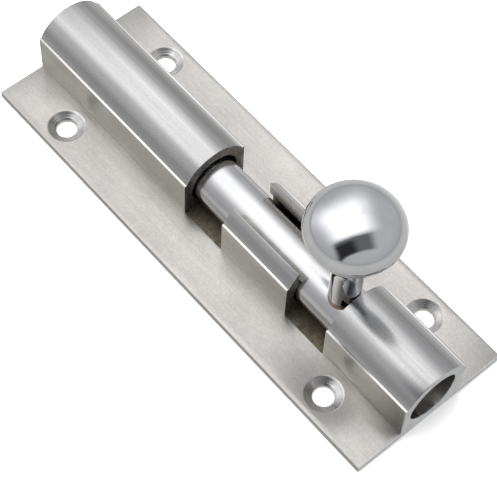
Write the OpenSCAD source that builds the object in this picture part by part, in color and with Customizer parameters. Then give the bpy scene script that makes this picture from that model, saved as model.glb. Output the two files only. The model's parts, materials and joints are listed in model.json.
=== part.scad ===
// Tower bolt with a fold-down knob: one extruded and milled housing, a round bolt rod that slides and
// turns in it, and a trumpet-necked knob screwed into the side of the rod.
// +X is the way the bolt is thrown, Z = 0 is the face that lies on the door, and the origin is the
// centre of that face. The knob stands upright, which is how it is held while the bolt is moved.

/* [Mounting plate] */
// Length of the plate, along the bolt
plate_length = 102; // [100:0.5:140]
// Width of the plate
plate_width = 34; // [32:0.5:60]
// Thickness of the plate
plate_thickness = 1.5; // [1.25:0.05:3]

/* [Screw holes] */
// Diameter of the four screw holes
screw_hole_d = 4; // [3:0.1:5]
// Diameter of the countersinks at the plate's surface
countersink_d = 7.2; // [6:0.1:8]
// Depth of the countersinks
countersink_depth = 0.9; // [0.5:0.05:1.1]
// Distance from the plate's ends to the hole centres
hole_end_margin = 14.3; // [6:0.1:20]
// Distance from the plate's long edges to the hole centres
hole_edge_margin = 4.9; // [4.5:0.1:5.5]

/* [Bolt rod] */
// Diameter of the rod
rod_d = 9.5; // [8:0.1:11.5]
// Radial play of the rod in the bore
bore_clearance = 0.5; // [0.4:0.05:0.8]
// How far the rod's axis lies below the bore's, because the rod rests on the bore's floor
rod_drop = 0.4; // [0:0.05:0.4]
// Distance from the housing's front end to the rod's tip, drawn back
tip_recess = 0.5; // [0:0.1:3]
// Distance from the housing's rear end to the rod's tail, drawn back
tail_recess = 5; // [2:0.1:7]
// Chamfer at the rod's two ends
rod_chamfer = 0.8; // [0.2:0.1:1.5]

/* [Barrel] */
// Metal left under the bore, which cuts a little into the plate
bore_floor = 1.25; // [1.1:0.05:2]
// Side wall beside the bore
side_wall = 1.85; // [1.2:0.05:3]
// Wall of the round crown over the bore
crown_wall = 2.25; // [1.5:0.05:3]
// Height of the shoulders over the bore's axis
shoulder_rise = 3.5; // [2.5:0.1:4.5]
// Length of the closed front stretch, where the bolt comes out
front_length = 43.6; // [38:0.1:50]
// Length of the open gap behind the front stretch, where the knob folds with the bolt thrown
front_gap = 10.3; // [8:0.1:12]
// Length of the slotted middle stretch
guide_length = 17.7; // [12:0.1:22]
// Length of the open gap behind the middle stretch, where the knob folds with the bolt drawn back
rear_gap = 10.1; // [8:0.1:12]
// Width of the slot that the knob's neck slides along
slot_width = 8.6; // [8:0.1:9.4]
// Depth that the milling of the gaps leaves in the plate
gap_milling = 0.15; // [0.05:0.05:0.3]
// Chamfer of the bore at the housing's two ends
mouth_chamfer = 0.35; // [0.1:0.05:0.5]

/* [Knob] */
// Diameter of the neck
neck_d = 5.9; // [5.2:0.1:6.4]
// Length of the straight neck above its collar
neck_length = 7.8; // [7:0.1:12]
// Radius of the curve from the neck out to the rim
flare_radius = 12.5; // [8:0.1:20]
// Diameter of the rounded rim at the top of the flare
rim_d = 14.3; // [11:0.1:15.6]
// Thickness of the rim
rim_thickness = 1.2; // [0.4:0.05:2]
// Depth of the crease between the rim and the head, which is also how far the rim swells out
crease_depth = 0.15; // [0.1:0.05:0.8]
// Diameter of the mushroom head
head_d = 17.6; // [16:0.1:20]
// Height of the head's underside, from the crease to the widest point
head_under = 3; // [1.5:0.1:4]
// Height of the head's dome, over the widest point
head_dome = 5.9; // [3:0.1:8]
// Play between the neck and the end of a gap
neck_clearance = 0.1; // [0.05:0.05:0.3]

/* [Stud and collar] */
// Diameter of the stud that holds the knob to the rod
stud_d = 4; // [3:0.1:4.2]
// Depth of the stud's hole past the rod's axis
stud_depth = 2; // [0.5:0.1:2.5]
// Length of the stud inside the knob
stud_reach = 6; // [4:0.1:8]
// Room at the blind ends of the stud's two holes
stud_end_room = 0.5; // [0.2:0.1:1]
// Radial room round the stud in the collar
collar_clearance = 0.1; // [0.05:0.05:0.3]
// Height of the collar over the crown of the rod
collar_rise = 0.4; // [0.2:0.05:1]

/* [Rod tail] */
// Length of the plain end section behind the rod
tail_length = 4; // [3:0.1:6]
// Diameter of the journal that the rod turns on
journal_d = 4; // [3:0.1:5]
// Length of the journal
journal_length = 4; // [3:0.1:6]
// Running clearance of the journal, round it and at its faces
journal_clearance = 0.05; // [0.02:0.01:0.1]

/* [Hidden] */
fine = 96;
arc_steps = 16;
cut = 1;

// Housing
half_length = plate_length / 2;
half_width = plate_width / 2;
rod_r = rod_d / 2;
bore_r = rod_r + bore_clearance;
crown_r = bore_r + crown_wall;
barrel_half = bore_r + side_wall;
bore_z = bore_floor + bore_r;
shoulder_z = bore_z + shoulder_rise;
front_face = half_length - front_length;
guide_front = front_face - front_gap;
guide_rear = guide_front - guide_length;
rear_face = guide_rear - rear_gap;
hole_x = half_length - hole_end_margin;
hole_y = half_width - hole_edge_margin;

// Bolt rod, drawn back so that the neck stands against the end of the rear gap
rod_z = bore_z - rod_drop;
neck_r = neck_d / 2;
knob_x = rear_face + neck_clearance + neck_r;
rod_tip = half_length - tip_recess;
tail_end = tail_recess - half_length;
rod_end = tail_end + tail_length;

// Knob, by its heights over the rod's axis
stud_r = stud_d / 2;
neck_base = rod_r + collar_rise;
flare_start = neck_base + neck_length;
crease_r = rim_d / 2 - crease_depth;
flare_height = sqrt(pow(flare_radius, 2) - pow(flare_radius - (crease_r - neck_r), 2));
rim_start = flare_start + flare_height;
crease_height = rim_start + rim_thickness;
head_r = head_d / 2;
widest = crease_height + head_under;
under_angle = acos(crease_r / head_r);
under_rise = head_under / sin(under_angle);

// Points of an ellipse about [0, height], from its angle `from` to its angle `to`
function bow(height, r, rise, from, to) =
    [for (i = [0:arc_steps]) let (a = from + (to - from) * i / arc_steps)
        [r * cos(a), height + rise * sin(a)]];

// Points of the flare: a round concave sweep that leaves the neck without a corner
function flare_points() =
    [for (i = [0:arc_steps]) let (h = flare_height * i / arc_steps)
        [neck_r + flare_radius - sqrt(pow(flare_radius, 2) - pow(h, 2)), flare_start + h]];

// Points of the rim's rounded edge, from the flare to the crease
function rim_points() =
    [for (i = [1:arc_steps - 1]) let (a = -90 + 180 * i / arc_steps)
        [crease_r + crease_depth * cos(a), rim_start + rim_thickness / 2 * (1 + sin(a))]];

// A round bar along +X, from x = a to x = b
module bar(r, a, b) {
    translate([a, 0, 0]) rotate([0, 90, 0]) cylinder(r = r, h = b - a, $fn = fine);
}

// The bore's chamfered mouth, widening to the end at x = a; way is 1 at the front and -1 at the rear
module mouth(a, way) {
    translate([a, 0, bore_z]) rotate([0, 90 * way, 0]) translate([0, 0, -mouth_chamfer])
        cylinder(r1 = bore_r, r2 = bore_r + mouth_chamfer + cut, h = mouth_chamfer + cut, $fn = fine);
}

// The barrel's outline, seen along X: flat sides up to the shoulders and a round crown over them
module barrel_outline() {
    translate([-barrel_half, 0]) square([2 * barrel_half, shoulder_z]);
    intersection() {
        translate([0, bore_z]) circle(r = crown_r, $fn = fine);
        translate([-barrel_half, shoulder_z - cut]) square([2 * barrel_half, crown_r + cut]);
    }
}

// One stretch of barrel, from x = a to x = b
module barrel(a, b) {
    translate([a, 0, 0]) rotate([90, 0, 90]) linear_extrude(b - a) barrel_outline();
}

// A screw hole with its countersink, which runs on past the surface at the same slope
module screw_hole() {
    slope = (countersink_d - screw_hole_d) / countersink_depth;
    translate([0, 0, -cut]) cylinder(d = screw_hole_d, h = plate_thickness + 2 * cut, $fn = fine);
    translate([0, 0, plate_thickness - countersink_depth])
        cylinder(d1 = screw_hole_d, d2 = countersink_d + slope * cut, h = countersink_depth + cut, $fn = fine);
}

// The milled floor of a gap, from x = a to x = b
module gap_floor(a, b) {
    translate([a, -barrel_half, plate_thickness - gap_milling])
        cube([b - a, 2 * barrel_half, gap_milling + cut]);
}

module housing() {
    color([0.80, 0.79, 0.77]) difference() {
        union() {
            translate([-half_length, -half_width, 0]) cube([plate_length, plate_width, plate_thickness]);
            barrel(front_face, half_length);
            barrel(guide_rear, guide_front);
            barrel(-half_length, rear_face);
        }
        gap_floor(guide_front, front_face);
        gap_floor(rear_face, guide_rear);
        translate([0, 0, bore_z]) bar(bore_r, -half_length - cut, half_length + cut);
        mouth(half_length, 1);
        mouth(-half_length, -1);
        translate([guide_rear - cut, -slot_width / 2, bore_z])
            cube([guide_length + 2 * cut, slot_width, crown_r + cut]);
        for (x = [-hole_x, hole_x], y = [-hole_y, hole_y]) translate([x, y, 0]) screw_hole();
    }
}

module bolt_rod() {
    color([0.86, 0.87, 0.88]) difference() {
        translate([0, 0, rod_z]) union() {
            bar(rod_r, rod_end, rod_tip - rod_chamfer);
            translate([rod_tip - rod_chamfer, 0, 0]) rotate([0, 90, 0])
                cylinder(r1 = rod_r, r2 = rod_r - rod_chamfer, h = rod_chamfer, $fn = fine);
        }
        translate([knob_x, 0, rod_z - stud_depth]) cylinder(r = stud_r, h = rod_r + stud_depth + cut, $fn = fine);
        translate([0, 0, rod_z])
            bar(journal_d / 2 + journal_clearance, rod_end - cut, rod_end + journal_length + journal_clearance);
    }
}

// The rod's round end, which slides with it and doesn't need to turn
module rod_tail() {
    color([0.80, 0.81, 0.82]) translate([0, 0, rod_z]) {
        translate([tail_end, 0, 0]) rotate([0, 90, 0])
            cylinder(r1 = rod_r - rod_chamfer, r2 = rod_r, h = rod_chamfer, $fn = fine);
        bar(rod_r, tail_end + rod_chamfer, rod_end - journal_clearance);
        bar(journal_d / 2, rod_end - 2 * journal_clearance, rod_end + journal_length - journal_clearance);
    }
}

module knob() {
    color([0.82, 0.83, 0.85]) translate([knob_x, 0, rod_z]) difference() {
        rotate_extrude($fn = fine) polygon(concat(
            [[0, neck_base], [neck_r, neck_base]],
            flare_points(),
            rim_points(),
            bow(widest, head_r, under_rise, -under_angle, 0),
            bow(widest, head_r, head_dome, 90 / arc_steps, 90)
        ));
        translate([0, 0, neck_base - cut])
            cylinder(r = stud_r, h = cut + stud_reach + stud_end_room, $fn = fine);
    }
}

module knob_stud() {
    color([0.62, 0.60, 0.55]) translate([knob_x, 0, rod_z - stud_depth + stud_end_room])
        cylinder(r = stud_r, h = neck_base + stud_reach + stud_depth - stud_end_room, $fn = fine);
}

// A collar coped to the round of the rod, so that the neck stands square on it
module knob_collar() {
    color([0.78, 0.55, 0.42]) translate([knob_x, 0, rod_z]) difference() {
        cylinder(r = neck_r, h = neck_base, $fn = fine);
        cylinder(r = stud_r + collar_clearance, h = 3 * neck_base, center = true, $fn = fine);
        bar(rod_r, -neck_d, neck_d);
    }
}

housing();
bolt_rod();
rod_tail();
knob();
knob_stud();
knob_collar();
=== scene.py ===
"""The looks of a tower bolt with a fold-down knob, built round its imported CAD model, in metres."""

import json
import math

import bmesh
import bpy
from mathutils import Matrix, Vector


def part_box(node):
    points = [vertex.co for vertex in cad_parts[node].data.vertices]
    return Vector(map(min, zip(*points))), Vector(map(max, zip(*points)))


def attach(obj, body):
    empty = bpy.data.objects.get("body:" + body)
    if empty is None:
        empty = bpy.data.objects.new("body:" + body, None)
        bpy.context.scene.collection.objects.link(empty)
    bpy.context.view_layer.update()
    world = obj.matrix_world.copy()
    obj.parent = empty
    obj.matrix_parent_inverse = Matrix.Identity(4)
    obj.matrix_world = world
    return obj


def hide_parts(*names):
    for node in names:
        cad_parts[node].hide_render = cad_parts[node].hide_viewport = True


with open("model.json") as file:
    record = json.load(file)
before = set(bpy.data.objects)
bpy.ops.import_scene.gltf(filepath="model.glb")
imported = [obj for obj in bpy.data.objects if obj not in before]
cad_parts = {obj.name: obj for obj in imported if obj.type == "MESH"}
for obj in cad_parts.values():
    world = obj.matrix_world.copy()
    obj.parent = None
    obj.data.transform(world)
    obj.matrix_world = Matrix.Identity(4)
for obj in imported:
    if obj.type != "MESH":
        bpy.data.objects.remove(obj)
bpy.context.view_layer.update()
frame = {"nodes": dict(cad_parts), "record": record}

MM = 0.001
CLOSE = 0.01 * MM  # places nearer than this count as the same


# --- Sizes, all read from the frame -------------------------------------------------------------

def vertices(node):
    return [v.co for v in frame["nodes"][node].data.vertices]


def levels(values):
    """The different values in a list, in order, taking those close together as one."""
    out = []
    for value in sorted(values):
        if not out or value - out[-1] > 2 * CLOSE:
            out.append(value)
    return out


# The housing lies evenly about the origin in X and Y, with its underside at Z 0
HALF_LENGTH, HALF_WIDTH, CROWN_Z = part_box("housing")[1]
ROD_LO, ROD_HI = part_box("bolt_rod")
TAIL_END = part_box("rod_tail")[0].x
KNOB_LO, KNOB_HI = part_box("knob")
SHELL = vertices("housing")
LIFTED = [v for v in SHELL if v.z > 0.1 * MM]  # without the underside

PLATE_TOP = max(v.z for v in SHELL if abs(v.y) > HALF_WIDTH - CLOSE)
BARREL_HALF = max(abs(v.y) for v in SHELL if v.z > PLATE_TOP + MM)
SIDES = [v for v in LIFTED if abs(abs(v.y) - BARREL_HALF) < CLOSE]
SHOULDER_Z = max(v.z for v in SIDES)
GAP_FLOOR = min(v.z for v in SIDES)

# The barrel's rear, middle and front stretches, each from one X to another
FACES_X = levels(v.x for v in SIDES if v.z > SHOULDER_Z - CLOSE)
STRETCHES = list(zip(FACES_X[::2], FACES_X[1::2]))
MIDDLE = STRETCHES[1]

# The crown's radius, from where its round meets the shoulders; the bore is on the same axis
OUTER = [v for v in SHELL if abs(v.y) > 0.8 * BARREL_HALF]
LEDGE_Y = levels(abs(v.y) for v in OUTER if abs(v.z - SHOULDER_Z) < CLOSE)[0]
CROWN_DROP = CROWN_Z - SHOULDER_Z
CROWN_R = (LEDGE_Y ** 2 / CROWN_DROP + CROWN_DROP) / 2
BORE_Z = CROWN_Z - CROWN_R
ALONG_BORE = [v for v in LIFTED if abs(v.x) < HALF_LENGTH - 0.1 * MM and abs(v.y) < MM]
BORE_R = BORE_Z - min(v.z for v in ALONG_BORE)
LIPS = [v for v in SHELL if v.z > SHOULDER_Z + MM and MIDDLE[0] - MM < v.x < MIDDLE[1] + MM]
SLOT_HALF = min(abs(v.y) for v in LIPS)

ROD_R = (ROD_HI.y - ROD_LO.y) / 2
ROD_Z = (ROD_HI.z + ROD_LO.z) / 2
KNOB_X = (KNOB_LO.x + KNOB_HI.x) / 2

HOLES = next(m for m in frame["record"]["mounts"] if m["kind"] == "bolt_pattern")["dims"]
HOLE_R = HOLES["hole_r_mm"] * MM
HOLE_X = HOLES["spacing_x_mm"] / 2 * MM
HOLE_Y = HOLES["spacing_y_mm"] / 2 * MM
HOLE_AT = [(sx * HOLE_X, sy * HOLE_Y) for sx in (-1, 1) for sy in (-1, 1)]

# One countersink's widest radius and its lower end, from the points within 2.4 radii of its hole
ROUND_HOLE = [v for v in SHELL if math.hypot(v.x - HOLE_X, v.y - HOLE_Y) < 2.4 * HOLE_R]
SINK_R = max(math.hypot(v.x - HOLE_X, v.y - HOLE_Y) for v in ROUND_HOLE if abs(v.z - PLATE_TOP) < CLOSE)
SINK_BOTTOM = levels(v.z for v in ROUND_HOLE if v.z < PLATE_TOP)[1]


# --- Mesh making --------------------------------------------------------------------------------

SEGMENTS = 128
WELD = 1e-7  # points nearer than this are made one
FLAT = math.radians(0.4)  # faces that turn by less than this are made one


def mesh_object(name, bm, smooth_below=30):
    """A new object from a bmesh, smooth but for the edges sharper than an angle in degrees."""
    bmesh.ops.recalc_face_normals(bm, faces=bm.faces)
    mesh = bpy.data.meshes.new(name)
    bm.to_mesh(mesh)
    bm.free()
    mesh.shade_smooth()
    mesh.set_sharp_from_angle(angle=math.radians(smooth_below))
    piece = bpy.data.objects.new(name, mesh)
    bpy.context.scene.collection.objects.link(piece)
    return piece


def lathe(profile, segments, matrix):
    """A bmesh turned about +Z from (radius, height) points, then moved by a matrix.

    A radius of 0 closes the end in one point.
    """
    bm = bmesh.new()
    rings = []
    for radius, height in profile:
        count = segments if radius > 0 else 1
        angles = [2 * math.pi * i / count for i in range(count)]
        rings.append([bm.verts.new((radius * math.cos(a), radius * math.sin(a), height)) for a in angles])
    for low, high in zip(rings, rings[1:]):
        for i in range(segments):
            j = (i + 1) % segments
            corners = [low[i % len(low)], low[j % len(low)], high[j % len(high)], high[i % len(high)]]
            corners = list(dict.fromkeys(corners))
            if len(corners) > 2:
                bm.faces.new(corners)
    bm.transform(matrix)
    return bm


def along_x(z):
    """Turns +Z to +X, at a height of z."""
    return Matrix.Translation((0, 0, z)) @ Matrix.Rotation(math.pi / 2, 4, "Y")


def prism(outline, x0, x1):
    """A bmesh from a closed outline of (y, z) points, pushed from x0 to x1."""
    bm = bmesh.new()
    near = [bm.verts.new((x0, y, z)) for y, z in outline]
    far = [bm.verts.new((x1, y, z)) for y, z in outline]
    bm.faces.new(near)
    bm.faces.new(far[::-1])
    for i in range(len(outline)):
        j = (i + 1) % len(outline)
        bm.faces.new((near[j], near[i], far[i], far[j]))
    return bm


def slab(x0, x1, y0, y1, z0, z1):
    """A bmesh of a plain block."""
    return prism([(y0, z0), (y1, z0), (y1, z1), (y0, z1)], x0, x1)


def arc(radius, start, end, steps, centre=(0.0, 0.0)):
    """Points of a round arc, between two angles in degrees."""
    angles = [math.radians(start + (end - start) * i / steps) for i in range(steps + 1)]
    return [(centre[0] + radius * math.cos(a), centre[1] + radius * math.sin(a)) for a in angles]


def carve(base, steps):
    """A new bmesh from a base and (operation, bmesh) steps, which add solids to it or take them away."""
    piece = mesh_object("blank", base)
    tools = []
    for operation, tool_mesh in steps:
        tool = mesh_object("tool", tool_mesh)
        modifier = piece.modifiers.new(operation, "BOOLEAN")
        modifier.operation = operation
        modifier.solver = "EXACT"
        modifier.object = tool
        tools.append(tool)
    graph = bpy.context.evaluated_depsgraph_get()
    bm = bmesh.new()
    bm.from_mesh(piece.evaluated_get(graph).to_mesh())
    for used in tools + [piece]:
        bpy.data.objects.remove(used)
    bmesh.ops.remove_doubles(bm, verts=bm.verts, dist=WELD)
    bmesh.ops.dissolve_limit(bm, angle_limit=FLAT, verts=bm.verts, edges=bm.edges)
    return bm


# --- Housing ------------------------------------------------------------------------------------

CROWN_STEPS = 40
SINK_SEGMENTS = 72
SPARE = 2 * MM  # how far a cutter stands out past what it cuts
EDGE = 0.17 * MM  # the broken edge of an outside corner
CORNER = math.radians(25)  # an edge that turns by less than this isn't a corner
MOUTH = 0.35 * MM  # the flare of the bore at each end
SINK_BOW = 0.06 * MM  # how far a countersink's slope swells at its middle


def barrel_outline():
    """The barrel's section: flat sides, a narrow shoulder each side, and the round crown."""
    low = math.degrees(math.asin((SHOULDER_Z - BORE_Z) / CROWN_R))
    crown = arc(CROWN_R, low, 180 - low, CROWN_STEPS, (0, BORE_Z))
    foot = PLATE_TOP / 3  # inside the plate, which it joins
    base = [(-BARREL_HALF, foot), (BARREL_HALF, foot)]
    return [*base, (BARREL_HALF, SHOULDER_Z), *crown, (-BARREL_HALF, SHOULDER_Z)]


def bore_cutter():
    """The bore, with a short flare at each mouth."""
    end = HALF_LENGTH + SPARE
    flare = BORE_R + MOUTH + SPARE
    straight = HALF_LENGTH - MOUTH
    profile = [(0, -end), (flare, -end), (BORE_R, -straight), (BORE_R, straight), (flare, end), (0, end)]
    return lathe(profile, SEGMENTS, along_x(BORE_Z))


def sink_cutter(x, y):
    """A screw hole with its countersink, a little bowed like one cut by a worn bit."""
    steps = 8
    width = SINK_R - HOLE_R
    depth = PLATE_TOP - SINK_BOTTOM
    cone = []
    for i in range(steps + 1):
        part = i / steps
        bowed = HOLE_R + width * part + SINK_BOW * math.sin(math.pi * part)
        cone.append((bowed, SINK_BOTTOM + depth * part))
    above = PLATE_TOP + SPARE * depth / width
    profile = [(0, -SPARE), (HOLE_R, -SPARE), *cone, (SINK_R + SPARE, above), (0, above)]
    return lathe(profile, SINK_SEGMENTS, Matrix.Translation((x, y, 0)))


def gap_cutter(x0, x1):
    return slab(x0, x1, -BARREL_HALF, BARREL_HALF, GAP_FLOOR, PLATE_TOP + SPARE)


def slot_cutter():
    return slab(MIDDLE[0] - SPARE, MIDDLE[1] + SPARE, -SLOT_HALF, SLOT_HALF, BORE_Z, CROWN_Z + SPARE)


def housing_mesh():
    """The plate and the barrel's three stretches in one, cut by gaps, bore, slot and screw holes."""
    plate = slab(-HALF_LENGTH, HALF_LENGTH, -HALF_WIDTH, HALF_WIDTH, 0, PLATE_TOP)
    steps = [("UNION", prism(barrel_outline(), a, b)) for a, b in STRETCHES]
    steps += [("DIFFERENCE", gap_cutter(rear[1], front[0])) for rear, front in zip(STRETCHES, STRETCHES[1:])]
    steps += [("DIFFERENCE", bore_cutter()), ("DIFFERENCE", slot_cutter())]
    steps += [("DIFFERENCE", sink_cutter(x, y)) for x, y in HOLE_AT]
    bm = carve(plate, steps)
    edges = [e for e in bm.edges if len(e.link_faces) == 2 and rounded_edge(e)]
    rounding = {"offset": EDGE, "segments": 2, "profile": 0.6, "clamp_overlap": False}
    bmesh.ops.bevel(bm, geom=edges, affect="EDGES", **rounding)
    return bm


def rounded_edge(edge):
    """Whether an edge of the housing has its corner broken: outside corners, away from the gaps' floors."""
    if edge.calc_face_angle_signed(0) < CORNER:
        return False
    middle = (edge.verts[0].co + edge.verts[1].co) / 2
    in_gap_floor = middle.z < PLATE_TOP + CLOSE and abs(middle.y) < BARREL_HALF + CLOSE
    return not (in_gap_floor and abs(middle.x) < HALF_LENGTH - CLOSE)


END_BAND = 0.5 * MM  # a face this near to an end of the housing may belong to the end
BORE_BAND = 0.4 * MM  # a face this near to the bore may belong to the bore

# The least part of a face's normal along an axis, for it to lean, look or look straight along it
LEANS, LOOKS, LOOKS_STRAIGHT = 0.3, 0.6, 0.9


def surface_of(face):
    """Which of the housing's finishes a face has, by where it is and which way it looks."""
    at, facing = face.calc_center_median(), face.normal
    off_axis = math.hypot(at.y, at.z - BORE_Z)
    inward = facing.y * at.y + facing.z * (at.z - BORE_Z) < 0
    if off_axis < BORE_R + BORE_BAND and inward and abs(facing.x) < LEANS:
        return "bore"
    over_hole = any(math.hypot(at.x - x, at.y - y) < SINK_R + 2 * CLOSE for x, y in HOLE_AT)
    if over_hole and 0 < at.z < PLATE_TOP - CLOSE:
        return "sink"
    if abs(at.x) > HALF_LENGTH - END_BAND and abs(facing.x) > LEANS:
        return "sawn_end"
    if MM < at.z < PLATE_TOP - 5 * CLOSE and abs(at.y) < BARREL_HALF:
        return "gap_floor"
    if abs(facing.x) > LOOKS:
        return "milled"
    if abs(abs(at.y) - SLOT_HALF) < 2 * CLOSE and abs(facing.y) > LOOKS_STRAIGHT and at.z > BORE_Z:
        return "slot"
    if abs(at.y) > LEDGE_Y - 2 * CLOSE and at.z > SHOULDER_Z - EDGE and facing.z > LEANS:
        return "ledge"
    if at.z > SHOULDER_Z:
        return "crown"
    if at.z > PLATE_TOP + 5 * CLOSE:
        return "wall"
    return "plate"


def paint_faces(piece, surfaces):
    """Gives each face of the housing the number that its surface has in a list."""
    bm = bmesh.new()
    bm.from_mesh(piece.data)
    bm.normal_update()
    for face in bm.faces:
        face.material_index = surfaces.index(surface_of(face))
    bm.to_mesh(piece.data)
    bm.free()


# --- Rod and knob -------------------------------------------------------------------------------

ROD_CHAMFER = 0.8 * MM
SEAM_CHAMFER = 0.1 * MM
SEAM = 0.05 * MM  # the space between the rod and its tail
SOFT = 0.12 * MM  # how far from a corner of a chamfer its rounding starts


def rounded_end(end, chamfer, way):
    """(radius, height) points of a chamfered end of the rod; way is 1 for the far end and -1 for the near.

    Each corner of the chamfer is rounded by three points: before it, near it and past it.
    """
    slope = SOFT / math.sqrt(2)
    inner = ROD_R - chamfer
    return [
        (0, end),
        (inner - SOFT, end),
        (inner - SOFT / 3, end - way * SOFT / 6),
        (inner + slope, end - way * slope),
        (ROD_R - slope, end - way * (chamfer - slope)),
        (ROD_R - SOFT / 5, end - way * (chamfer + SOFT / 3)),
        (ROD_R, end - way * (chamfer + SOFT)),
    ]


def rod_mesh(x0, x1, rear, front):
    """A stretch of rod from x0 to x1; its two ends are chamfered by rear and front."""
    profile = rounded_end(x0, rear, -1) + rounded_end(x1, front, 1)[::-1]
    return lathe(profile, SEGMENTS, along_x(ROD_Z))


HEAD_HEIGHT = 5 * MM  # this near to the top of the knob, every point is on its outside


def knob_profile():
    """(radius, height) points of the knob's outside, read off the CAD knob, from its foot to its top."""
    step = CLOSE / 2
    rows = {}
    for v in vertices("knob"):
        row = round(v.z / step)
        rows[row] = max(rows.get(row, 0), math.hypot(v.x - KNOB_X, v.y))
    least = rows[min(rows)] - 2 * CLOSE
    head = KNOB_HI.z - HEAD_HEIGHT
    outside = [(r, row * step) for row, r in sorted(rows.items()) if r > least or row * step > head]
    foot = (0, outside[0][1])
    top = (0, max(rows) * step)
    return [foot, *outside[:-1], top]


# --- Materials ----------------------------------------------------------------------------------

class Tree:
    """A node tree, with short ways to add and join nodes."""

    def __init__(self, owner):
        owner.use_nodes = True
        self.tree = owner.node_tree

    def set(self, node, sockets):
        """Joins each socket of a node to another node's output, or gives it a plain value."""
        for key, value in sockets.items():
            if isinstance(value, bpy.types.NodeSocket):
                self.tree.links.new(value, node.inputs[key])
            else:
                node.inputs[key].default_value = value

    def add(self, kind, sockets=None, **settings):
        node = self.tree.nodes.new(kind)
        for key, value in settings.items():
            setattr(node, key, value)
        self.set(node, sockets or {})
        return node

    def math(self, operation, a, b):
        return self.add("ShaderNodeMath", {0: a, 1: b}, operation=operation).outputs["Value"]

    def vector_math(self, operation, a, b=(0, 0, 0)):
        return self.add("ShaderNodeVectorMath", {0: a, 1: b}, operation=operation).outputs

    def spread(self, value, low, high, to_low, to_high, **settings):
        """Maps low..high to to_low..to_high, and holds at the ends."""
        sockets = {"Value": value, "From Min": low, "From Max": high, "To Min": to_low, "To Max": to_high}
        return self.add("ShaderNodeMapRange", sockets, **settings).outputs["Result"]

    def blend(self, value, other, share):
        """A share of one value, from 0 to 1, and the rest of another."""
        return self.math("ADD", self.math("MULTIPLY", value, share), self.math("MULTIPLY", other, 1 - share))

    def colours(self, value, *stops):
        """A colour ramp over (position, (r, g, b)) stops."""
        node = self.add("ShaderNodeValToRGB", {"Fac": value})
        ramp = node.color_ramp
        while len(ramp.elements) < len(stops):
            ramp.elements.new(0.5)
        for element, (position, color) in zip(ramp.elements, stops):
            element.position = position
            element.color = (*color, 1)
        return node.outputs["Color"]


class Material(Tree):
    """A material's node tree. Its textures lie in the object's own coordinates.

    Its plain roughness and colour stand until finish joins others to them.
    """

    def __init__(self, name, roughness, metallic=1.0, color=(0.8, 0.8, 0.8)):
        self.material = bpy.data.materials.new(name)
        super().__init__(self.material)
        self.shader = self.tree.nodes["Principled BSDF"]
        self.set(self.shader, {"Metallic": metallic, "Roughness": roughness, "Base Color": (*color, 1)})
        self.place = self.add("ShaderNodeTexCoord").outputs["Object"]

    def stretched(self, scale, offset=(0, 0, 0)):
        """The coordinates scaled apart along X, Y and Z, so that a texture runs as streaks."""
        sockets = {"Vector": self.place, "Scale": scale, "Location": offset}
        return self.add("ShaderNodeMapping", sockets).outputs["Vector"]

    def noise(self, scale, vector, detail, rough):
        """Even noise, in coordinates of its own or, with None, the object's."""
        sockets = {"Vector": vector or self.place, "Scale": scale, "Detail": detail, "Roughness": rough}
        return self.add("ShaderNodeTexNoise", sockets).outputs["Fac"]

    def bump(self, height, distance, strength):
        sockets = {"Height": height, "Distance": distance, "Strength": strength}
        return self.add("ShaderNodeBump", sockets).outputs["Normal"]

    def finish(self, color, rough, normal):
        """Joins colour, roughness and normal to the shader, and gives back the finished material."""
        self.set(self.shader, {"Base Color": color, "Roughness": rough, "Normal": normal})
        return self.material


def satin_metal(name, tint, roughness, streak, die_lines=0.0):
    """Drawn metal with a satin plating.

    It has a fine grain, small specks, long streaks, soft smudges and the broad lines that a die leaves.
    streak is the streaks' share against the smudges; die_lines is the broad lines' share against both,
    and the more of them there is, the less the fine grain shows.
    """
    m = Material(name, roughness=roughness)
    grain = m.noise(1, m.stretched((90, 3600, 3600)), 4, 0.7)
    specks = m.noise(3000, None, 2, 0.7)
    streaks = m.noise(1, m.stretched((9, 1100, 1100), (3, 1, 7)), 4, 0.65)
    smudges = m.noise(120, m.stretched((1, 1.6, 1.6), (2, 5, 1)), 4, 0.6)
    drawn = m.spread(m.noise(1, m.stretched((2, 620, 620), (1, 2, 3)), 3, 0.5), 0.36, 0.64, 0.26, 0.74)
    fine = m.blend(grain, specks, 0.4)
    broad = m.blend(drawn, m.blend(streaks, smudges, streak), die_lines)
    tone = m.blend(fine, broad, 0.68 - 0.5 * die_lines)
    dark, middle, light = ([c * level for c in tint] for level in (0.85, 1.0, 1.15))
    color = m.colours(tone, (0.36, dark), (0.50, middle), (0.64, light))
    rough = m.spread(tone, 0.36, 0.64, roughness + 0.05, roughness - 0.04)
    return m.finish(color, rough, m.bump(fine, 0.005 * MM, 0.5))


def milled_metal(name, dark, light, pitch, depth, roughness):
    """A face left by a cutter: rough, darker, with close tool marks, smears and specks."""
    m = Material(name, roughness=roughness)
    smear = m.noise(700, m.stretched((1, 1, 0.35)), 4, 0.65)
    marks = m.noise(1, m.stretched((pitch, 0.35 * pitch, 0.35 * pitch)), 5, 0.7)
    specks = m.noise(3600, None, 2, 0.75)
    tone = m.blend(m.blend(smear, marks, 0.5), specks, 0.7)
    color = m.colours(tone, (0.38, dark), (0.62, light))
    rough = m.spread(smear, 0.3, 0.7, roughness + 0.10, roughness - 0.08)
    return m.finish(color, rough, m.bump(marks, depth, 0.8))


def bright_edge():
    """The narrow shoulders, skimmed smooth by the cutter, with lines along them; their lighter colour is a
    painted highlight.
    """
    m = Material("shoulder_painted_highlight", roughness=0.2)
    lines = m.noise(1, m.stretched((60, 4200, 4200)), 3, 0.6)
    # Painted highlight: the shoulders are coloured lighter than the satin round them.
    color = m.colours(lines, (0.3, (0.64, 0.635, 0.625)), (0.7, (0.78, 0.775, 0.765)))
    rough = m.spread(lines, 0.3, 0.7, 0.26, 0.18)
    return m.finish(color, rough, m.bump(lines, 0.003 * MM, 0.4))


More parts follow.
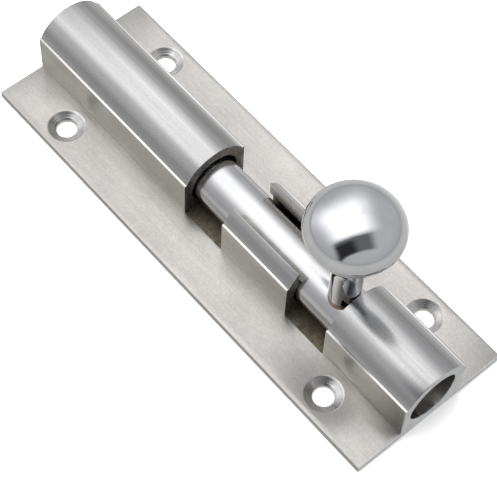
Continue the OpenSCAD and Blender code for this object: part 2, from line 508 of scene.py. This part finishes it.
def rings_every(m, distance, pitch):
    """Tool marks as a wave over a distance, from -1 to 1."""
    return m.math("SINE", m.math("MULTIPLY", distance, 2 * math.pi / pitch), 0)


def sunk_metal():
    """The countersinks: turned rings round the axis of each hole, which lie evenly about the middle."""
    m = Material("countersink", roughness=0.32)
    folded = m.vector_math("ABSOLUTE", m.place)["Vector"]
    offset = m.vector_math("SUBTRACT", folded, (HOLE_X, HOLE_Y, 0))["Vector"]
    level = m.vector_math("MULTIPLY", offset, (1, 1, 0))["Vector"]
    rings = rings_every(m, m.vector_math("LENGTH", level)["Value"], 0.45 * MM)
    wear = m.noise(900, None, 3, 0.6)
    color = m.colours(wear, (0.3, (0.60, 0.595, 0.585)), (0.7, (0.76, 0.755, 0.745)))
    rough = m.spread(wear, 0.3, 0.7, 0.35, 0.24)
    return m.finish(color, rough, m.bump(rings, 0.006 * MM, 0.6))


def bored_metal():
    """The bore: feed marks round it, as a boring tool leaves them, and painted reflections as dark and
    bright streaks along it.
    """
    m = Material("reamed_bore", roughness=0.24)
    along = m.add("ShaderNodeSeparateXYZ", {"Vector": m.place}).outputs["X"]
    marks = rings_every(m, along, 0.3 * MM)
    streaks = m.noise(1, m.stretched((25, 420, 420), (1, 4, 2)), 3, 0.6)
    # Painted reflections: the streaks' colours run from dark to bright along the bore.
    painted_dark_reflection, plain, bright = (0.24, 0.235, 0.22), (0.52, 0.51, 0.49), (0.76, 0.755, 0.74)
    color = m.colours(streaks, (0.40, painted_dark_reflection), (0.50, plain), (0.60, bright))
    rough = m.spread(streaks, 0.38, 0.62, 0.34, 0.18)
    return m.finish(color, rough, m.bump(marks, 0.003 * MM, 0.6))


def polished_rod():
    """Polished bar: nearly a mirror, with faint draw lines along it and a few handling marks."""
    m = Material("polished_nickel", roughness=0.16)
    lines = m.noise(1, m.stretched((18, 2600, 2600)), 3, 0.6)
    marks = m.noise(240, m.stretched((1, 2.2, 2.2), (5, 2, 1)), 3, 0.6)
    color = m.colours(marks, (0.3, (0.63, 0.632, 0.64)), (0.7, (0.72, 0.722, 0.73)))
    rough = m.spread(m.blend(lines, marks, 0.4), 0.3, 0.7, 0.19, 0.14)
    return m.finish(color, rough, m.bump(lines, 0.0012 * MM, 0.4))


def knob_chrome():
    """Bright chrome on a turned and buffed knob, with faint waves under it and a light handling haze."""
    m = Material("mirror_chrome", roughness=0.07)
    waves = m.noise(130, m.stretched((1, 1, 0.6)), 2, 0.4)
    haze = m.noise(260, None, 3, 0.55)
    color = m.colours(haze, (0.3, (0.70, 0.71, 0.73)), (0.7, (0.78, 0.79, 0.81)))
    rough = m.spread(haze, 0.3, 0.7, 0.06, 0.035)
    return m.finish(color, rough, m.bump(waves, 0.012 * MM, 0.3))


def copper_collar():
    """Bare copper alloy, turned and pale where it is rubbed, with painted shade darkening it to brown along
    its two edges, where it meets the rod and the neck.
    """
    m = Material("bare_copper", roughness=0.36)
    rings = m.noise(1, m.stretched((300, 300, 6000)), 3, 0.6)
    tarnish = m.noise(1500, None, 3, 0.6)
    split = m.add("ShaderNodeSeparateXYZ", {"Vector": m.place}).outputs
    above = m.math("SUBTRACT", split["Z"], ROD_Z)
    off_axis = m.math("SQRT", m.math("ADD", m.math("POWER", split["Y"], 2), m.math("POWER", above, 2)), 0)
    # Painted shade in the joints: the colour darkens to brown near the rod and near the neck.
    from_rod = m.math("SUBTRACT", off_axis, ROD_R)
    from_neck = m.math("SUBTRACT", KNOB_LO.z, split["Z"])
    from_edge = m.math("MINIMUM", from_rod, from_neck)
    out_of_joint_shade = m.spread(from_edge, 0.02 * MM, 0.16 * MM, 0.0, 0.5)
    tone = m.math("ADD", out_of_joint_shade, m.math("MULTIPLY", m.blend(rings, tarnish, 0.6), 0.5))
    joint_shade_brown, bare, rubbed = (0.12, 0.075, 0.055), (0.42, 0.305, 0.25), (0.62, 0.49, 0.425)
    color = m.colours(tone, (0.15, joint_shade_brown), (0.62, bare), (0.86, rubbed))
    rough = m.spread(tone, 0.2, 0.9, 0.5, 0.3)
    return m.finish(color, rough, m.bump(rings, 0.01 * MM, 0.5))


def stud_steel():
    """Zinc-plated steel with a faint yellow cast and thread-like rings."""
    m = Material("plated_steel", roughness=0.3)
    rings = m.noise(1, m.stretched((200, 200, 5000)), 3, 0.6)
    color = m.colours(rings, (0.35, (0.42, 0.40, 0.34)), (0.65, (0.66, 0.64, 0.57)))
    rough = m.spread(rings, 0.3, 0.7, 0.4, 0.25)
    return m.finish(color, rough, m.bump(rings, 0.01 * MM, 0.6))


PAPER_ROUGHNESS = 0.85


def floor_paper():
    """Pale seamless paper, with a faint tooth."""
    m = Material("pale_paper", roughness=PAPER_ROUGHNESS, metallic=0.0, color=(0.94, 0.94, 0.94))
    tooth = m.noise(2600, None, 4, 0.6)
    color = m.colours(tooth, (0.3, (0.925, 0.925, 0.925)), (0.7, (0.95, 0.95, 0.95)))
    return m.finish(color, PAPER_ROUGHNESS, m.bump(tooth, 0.02 * MM, 0.15))


# --- Pieces -------------------------------------------------------------------------------------

# The housing's surfaces, as surface_of names them, and the finish of each
HOUSING_FINISHES = {
    "plate": satin_metal("satin_plate", (0.53, 0.513, 0.493), 0.32, 0.3),
    "milled": milled_metal(
        "milled_face", (0.11, 0.104, 0.094), (0.46, 0.44, 0.405),
        pitch=3200, depth=0.02 * MM, roughness=0.46,
    ),
    # The gaps' floors lie under the rod: their dark brown is partly the milled metal's own colour and partly
    # painted shade from the rod.
    "gap_floor": milled_metal(
        "milled_floor_painted_shade", (0.14, 0.122, 0.088), (0.30, 0.268, 0.205),
        pitch=2600, depth=0.012 * MM, roughness=0.5,
    ),
    "bore": bored_metal(),
    "sawn_end": milled_metal(
        "sawn_end", (0.70, 0.725, 0.745), (0.90, 0.92, 0.935),
        pitch=6500, depth=0.006 * MM, roughness=0.38,
    ),
    "sink": sunk_metal(),
    "ledge": bright_edge(),
    # The side walls have a lighter, warmer copy of the plate's satin finish: the extra lightness is painted
    # light.
    "wall": satin_metal("satin_wall_painted_light", (0.60, 0.587, 0.548), 0.36, 0.5),
    "crown": satin_metal("satin_crown", (0.535, 0.535, 0.535), 0.24, 0.85, 0.65),
    "slot": milled_metal(
        "slot_face", (0.50, 0.482, 0.44), (0.70, 0.68, 0.635),
        pitch=2600, depth=0.006 * MM, roughness=0.36,
    ),
}


def show(piece, body, slot, *replaced):
    """Rides a new piece on a body and hides the CAD nodes that it stands for; slot is not used."""
    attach(piece, body)
    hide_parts(*replaced)


def give(piece, *materials):
    """Puts materials on a piece in place of those that it has."""
    piece.data.materials.clear()
    for material in materials:
        piece.data.materials.append(material)


housing = mesh_object("housing_extrusion", housing_mesh(), 35)
give(housing, *HOUSING_FINISHES.values())
paint_faces(housing, list(HOUSING_FINISHES))
show(housing, "housing", "housing", "housing")

ROD_FINISH = polished_rod()
rod = mesh_object("bolt_bar", rod_mesh(ROD_LO.x, ROD_HI.x, SEAM_CHAMFER, ROD_CHAMFER), 60)
give(rod, ROD_FINISH)
show(rod, "bolt", "rod", "bolt_rod")

tail = mesh_object("bolt_bar_tail", rod_mesh(TAIL_END, ROD_LO.x - SEAM, ROD_CHAMFER, SEAM_CHAMFER), 60)
give(tail, ROD_FINISH)
show(tail, "slider", "rod", "rod_tail")

knob = mesh_object("knob_turned", lathe(knob_profile(), SEGMENTS, Matrix.Translation((KNOB_X, 0, 0))), 60)
give(knob, knob_chrome())
show(knob, "bolt", "knob", "knob")

for name, finish in (("knob_collar", copper_collar()), ("knob_stud", stud_steel())):
    node = frame["nodes"][name]
    give(node, finish)
    node.data.shade_smooth()
    node.data.set_sharp_from_angle(angle=math.radians(30))


# --- Stage, light and camera --------------------------------------------------------------------

FLOOR_HALF = 0.9
FLOOR_THICKNESS = 2 * MM


def lay_floor():
    """White paper to stand on. The metal reflects the studio instead of it."""
    bm = slab(-FLOOR_HALF, FLOOR_HALF, -FLOOR_HALF, FLOOR_HALF, -FLOOR_THICKNESS, 0)
    floor = mesh_object("floor", bm)
    give(floor, floor_paper())
    floor.visible_glossy = False


# The inputs and output of a Mix node that are colours; their names are shared with other kinds
MIX_UNDER, MIX_OVER, MIX_RESULT = 6, 7, 2


class Studio(Tree):
    """The world's node tree: a studio, painted layer over layer by the direction one looks in.

    A direction leans along U and V, two level axes turned a little from X and Y, and up; each from -1 to 1.
    """

    def __init__(self, turn):
        self.world = bpy.data.worlds.new("studio")
        super().__init__(self.world)
        self.direction = self.add("ShaderNodeTexCoord").outputs["Generated"]
        self.up = self.lean((0, 0, 1))
        self.u = self.lean((math.cos(turn), -math.sin(turn), 0))
        self.v = self.lean((math.sin(turn), math.cos(turn), 0))
        self.sky = None

    def lean(self, axis):
        return self.vector_math("DOT_PRODUCT", self.direction, axis)["Value"]

    def edge(self, value, start, end):
        """A soft edge: 0 before start and 1 past end, where end may be the lower of the two."""
        low, high = (0.0, 1.0) if start < end else (1.0, 0.0)
        ends = sorted((start, end))
        return self.spread(value, *ends, low, high, interpolation_type="SMOOTHSTEP")

    def window(self, within, u_edges, v_edges):
        """A patch inside another one, from its edges along U and along V."""
        patch = within
        for value, edges in ((self.u, u_edges), (self.v, v_edges)):
            for start, end in edges:
                patch = self.math("MULTIPLY", patch, self.edge(value, start, end))
        return patch

    def paint(self, patch, color):
        """Lays a colour over the sky where a patch is 1."""
        sockets = {"Factor": patch, MIX_UNDER: self.sky, MIX_OVER: (*color, 1)}
        self.sky = self.add("ShaderNodeMix", sockets, data_type="RGBA").outputs[MIX_RESULT]


SKY_TURN = math.radians(20)
WALLS = [  # from straight down, 0, to straight up, 1, with the level at 0.5
    (0.00, (0.52, 0.515, 0.50)),
    (0.25, (0.60, 0.595, 0.58)),
    (0.42, (0.56, 0.555, 0.55)),
    (0.50, (0.42, 0.42, 0.42)),
    (0.64, (0.48, 0.48, 0.49)),
    (0.90, (0.52, 0.52, 0.535)),
]
HORIZON = (0.02, 0.12)
FLAG_U, FLAG_V = ((-0.76, -0.66), (-0.14, -0.26)), ((-0.50, -0.20), (0.86, 0.66))
FLAG_HEART_U, FLAG_HEART_V = ((-0.24, -0.36),), ((0.02, 0.32),)
BOX_U, BOX_V = ((-0.24, -0.04), (0.98, 0.50)), ((-0.72, -0.12), (0.95, 0.35))
LOW_GLOW = Vector((0.20, -0.76, -0.62)).normalized()
LOW_GLOW_EDGE = (0.86, 0.98)

FLAG_BLACK = (0.15, 0.15, 0.16)
FLAG_HEART_BLACK = (0.03, 0.03, 0.035)
BOX_WHITE = (1.55, 1.55, 1.55)
GLOW_WHITE = (0.75, 0.75, 0.745)
PAPER_WHITE = (1.0, 1.0, 1.0)


def light_room():
    """The studio that the metal sees: grey walls, a dark flag, one big soft box and a low glow.

    The camera itself sees plain white behind the object.
    """
    studio = Studio(SKY_TURN)
    studio.sky = studio.colours(studio.edge(studio.up, -1.0, 1.0), *WALLS)
    above = studio.edge(studio.up, *HORIZON)
    flag = studio.window(above, FLAG_U, FLAG_V)
    studio.paint(flag, FLAG_BLACK)
    studio.paint(studio.window(flag, FLAG_HEART_U, FLAG_HEART_V), FLAG_HEART_BLACK)
    studio.paint(studio.window(above, BOX_U, BOX_V), BOX_WHITE)
    studio.paint(studio.edge(studio.lean(LOW_GLOW), *LOW_GLOW_EDGE), GLOW_WHITE)
    studio.paint(studio.add("ShaderNodeLightPath").outputs["Is Camera Ray"], PAPER_WHITE)
    studio.set(studio.tree.nodes["Background"], {"Color": studio.sky})
    bpy.context.scene.world = studio.world


LAMP_AT = Vector((0.2, 0.1, 1.3))
LAMP_SIZE = 1.6
LAMP_WATTS = 30.0


def hang_lamp():
    """A square lamp over the floor, which keeps the paper white. The metal doesn't reflect it."""
    data = bpy.data.lights.new("floor_light", "AREA")
    data.shape = "SQUARE"
    data.size = LAMP_SIZE
    data.energy = LAMP_WATTS
    lamp = bpy.data.objects.new("floor_light", data)
    lamp.location = LAMP_AT
    lamp.rotation_euler = (-LAMP_AT).to_track_quat("-Z", "Y").to_euler()
    lamp.visible_glossy = False
    bpy.context.scene.collection.objects.link(lamp)


CAMERA_AT = (-0.12267, 0.11437, 0.26928)
CAMERA_TURN = (-2.7434, -0.3865, -2.3484)  # about X, Y and Z, of its right, down and forward directions
LENS = 124.0
SENSOR_WIDTH = 36


def place_camera():
    """The camera of a product shot: a long lens, held from the near rear corner and rolled a little."""
    data = bpy.data.cameras.new("camera")
    data.lens = LENS
    data.sensor_width = SENSOR_WIDTH
    data.clip_start = 10 * MM
    camera = bpy.data.objects.new("camera", data)
    turn = Matrix.Identity(3)
    for angle, axis in zip(CAMERA_TURN, "XYZ"):
        turn = Matrix.Rotation(angle, 3, axis) @ turn
    right, down, forward = turn
    facing = Matrix((right, -down, -forward)).transposed().to_4x4()
    camera.matrix_world = Matrix.Translation(CAMERA_AT) @ facing
    bpy.context.scene.collection.objects.link(camera)
    bpy.context.scene.camera = camera


lay_floor()
light_room()
hang_lamp()
place_camera()
bpy.context.scene.view_settings.view_transform = "Standard"
